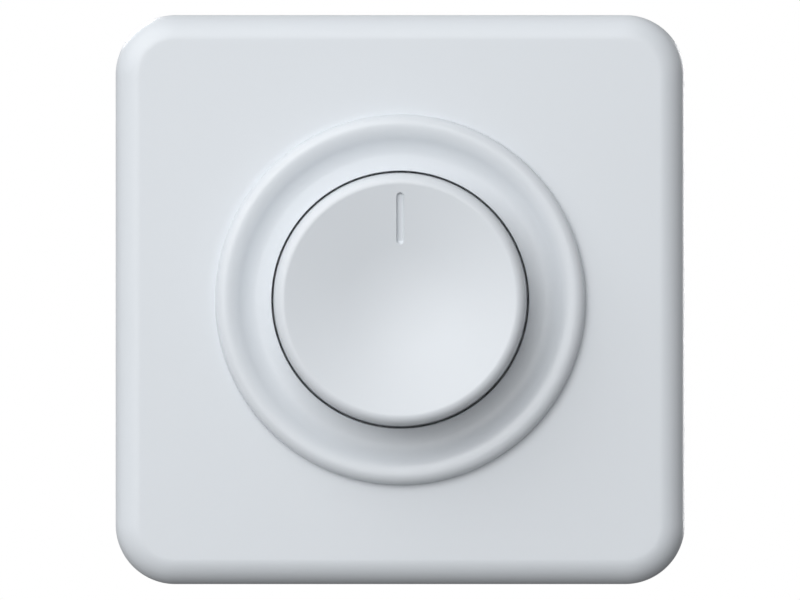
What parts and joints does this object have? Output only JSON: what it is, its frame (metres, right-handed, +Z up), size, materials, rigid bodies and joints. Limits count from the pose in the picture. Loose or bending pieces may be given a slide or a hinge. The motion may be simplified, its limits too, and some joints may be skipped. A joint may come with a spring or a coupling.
{
  "type": "rotary dimmer switch",
  "caption": "Flush rotary dimmer: square cover frame, dished round centre plate, turn-and-push knob, steel mounting ring with spreading claws, and housing for a round wall box.",
  "frame": {"origin": "on the knob's axis, in the plane of the wall, where the mounting ring's rear face lies", "axes": "+X to the right as seen from the room, +Y into the wall along the knob's axis, +Z up"},
  "size_m": [0.086, 0.0448, 0.086],
  "materials": {
    "cover_white": "glossy white moulding, faintly blue",
    "dish_white": "glossy white moulding, faintly blue",
    "knob_white": "glossy white moulding, faintly blue",
    "housing_grey": "matt light grey moulding",
    "zinc_steel": "zinc plated pressed steel",
    "spring_steel": "blued spring steel",
    "screw_steel": "zinc plated, machined",
    "brass": "bright brass",
    "nickel": "nickel plated",
    "dark_plastic": "black moulding",
    "board": "green lacquered circuit board",
    "track_board": "brown laminate with a dark track",
    "aluminium": "plain sheet",
    "pad_grey": "thin grey silicone sheet",
    "ferrite": "dark grey sintered ring",
    "copper_wire": "lacquered copper wire",
    "capacitor_box": "yellow moulded box",
    "capacitor_can": "dark blue sleeve over a can",
    "varistor_blue": "blue dipped coating",
    "resistor_tan": "tan lacquer with bands",
    "fuse_glass": "glass tube with plated caps"
  },
  "bodies": {
    "root": {"cover_frame": "cover_white", "centre_dish": "dish_white", "centre_nut": "nickel", "mounting_ring": "zinc_steel", "ring_rivets": "nickel", "housing_lid": "housing_grey", "housing_base": "housing_grey", "bushing_plate": "brass", "pot_housing": "dark_plastic", "pot_track": "track_board", "pot_pins": "nickel", "circuit_board": "board", "switch_housing": "dark_plastic", "fixed_contacts": "brass", "switch_return_spring": "spring_steel", "heat_spreader": "aluminium", "insulating_pad": "pad_grey", "triac": "dark_plastic", "triac_screw": "screw_steel", "choke_core": "ferrite", "choke_winding": "copper_wire", "film_capacitor": "capacitor_box", "electrolytic_capacitor": "capacitor_can", "varistor": "varistor_blue", "resistors": "resistor_tan", "controller_chip": "dark_plastic", "fuse": "fuse_glass", "fuse_clips": "nickel", "terminal_cages": "brass", "terminal_screws": "screw_steel", "terminal_bars": "brass"},
    "rotor": {"wiper_rotor": "dark_plastic", "wiper_contact": "brass"},
    "control": {"knob": "knob_white", "knob_clip": "spring_steel", "shaft": "screw_steel", "shaft_ring": "spring_steel"},
    "plunger": {"switch_plunger": "dark_plastic", "contact_bridge": "brass"},
    "claw_screw_right": {"claw_screw_right": "screw_steel"},
    "claw_screw_left": {"claw_screw_left": "screw_steel"},
    "claw_nut_right": {"claw_nut_right": "zinc_steel"},
    "claw_nut_left": {"claw_nut_left": "zinc_steel"},
    "claw_right": {"claw_right": "spring_steel"},
    "claw_left": {"claw_left": "spring_steel"}
  },
  "joints": [
    {"name": "knob_turn", "type": "hinge", "parent": "root", "child": "rotor", "pos_m": [0, 0, 0], "axis": [0, 1, 0], "range_deg": [-150, 150]},
    {"name": "knob_push", "type": "slide", "parent": "rotor", "child": "control", "axis": [0, 1, 0], "range_m": [0, 0.002], "stiffness_N_per_m": 1000, "springref_m": -0.003},
    {"name": "plunger_push", "type": "slide", "parent": "root", "child": "plunger", "axis": [0, 1, 0], "range_m": [0, 0.002], "deforming": ["switch_return_spring"]},
    {"name": "claw_nut_right_slide", "type": "slide", "parent": "root", "child": "claw_nut_right", "axis": [0, 1, 0], "range_m": [-0.00211, 0]},
    {"name": "claw_screw_right_turn", "type": "hinge", "parent": "root", "child": "claw_screw_right", "pos_m": [0.0244, 0, 0.0075], "axis": [0, 1, 0], "range_deg": [0, 1521]},
    {"name": "claw_right_spread", "type": "hinge", "parent": "root", "child": "claw_right", "pos_m": [0.021, 0.00075, 0.0075], "axis": [0, 0, 1], "range_deg": [-20.01, 0]},
    {"name": "claw_nut_left_slide", "type": "slide", "parent": "root", "child": "claw_nut_left", "axis": [0, 1, 0], "range_m": [-0.00211, 0]},
    {"name": "claw_screw_left_turn", "type": "hinge", "parent": "root", "child": "claw_screw_left", "pos_m": [-0.0244, 0, -0.0075], "axis": [0, 1, 0], "range_deg": [0, 1521]},
    {"name": "claw_left_spread", "type": "hinge", "parent": "root", "child": "claw_left", "pos_m": [-0.021, 0.00075, -0.0075], "axis": [0, 0, 1], "range_deg": [0, 20.01]}
  ],
  "couplings": [
    {"joint": "plunger_push", "follows": "knob_push", "ratio": 1},
    {"joint": "claw_screw_right_turn", "follows": "claw_nut_right_slide", "rad_per_m": -12566},
    {"joint": "claw_right_spread", "follows": "claw_nut_right_slide", "rad_per_m": 165.36},
    {"joint": "claw_screw_left_turn", "follows": "claw_nut_left_slide", "rad_per_m": -12566},
    {"joint": "claw_left_spread", "follows": "claw_nut_left_slide", "rad_per_m": -165.36}
  ]
}
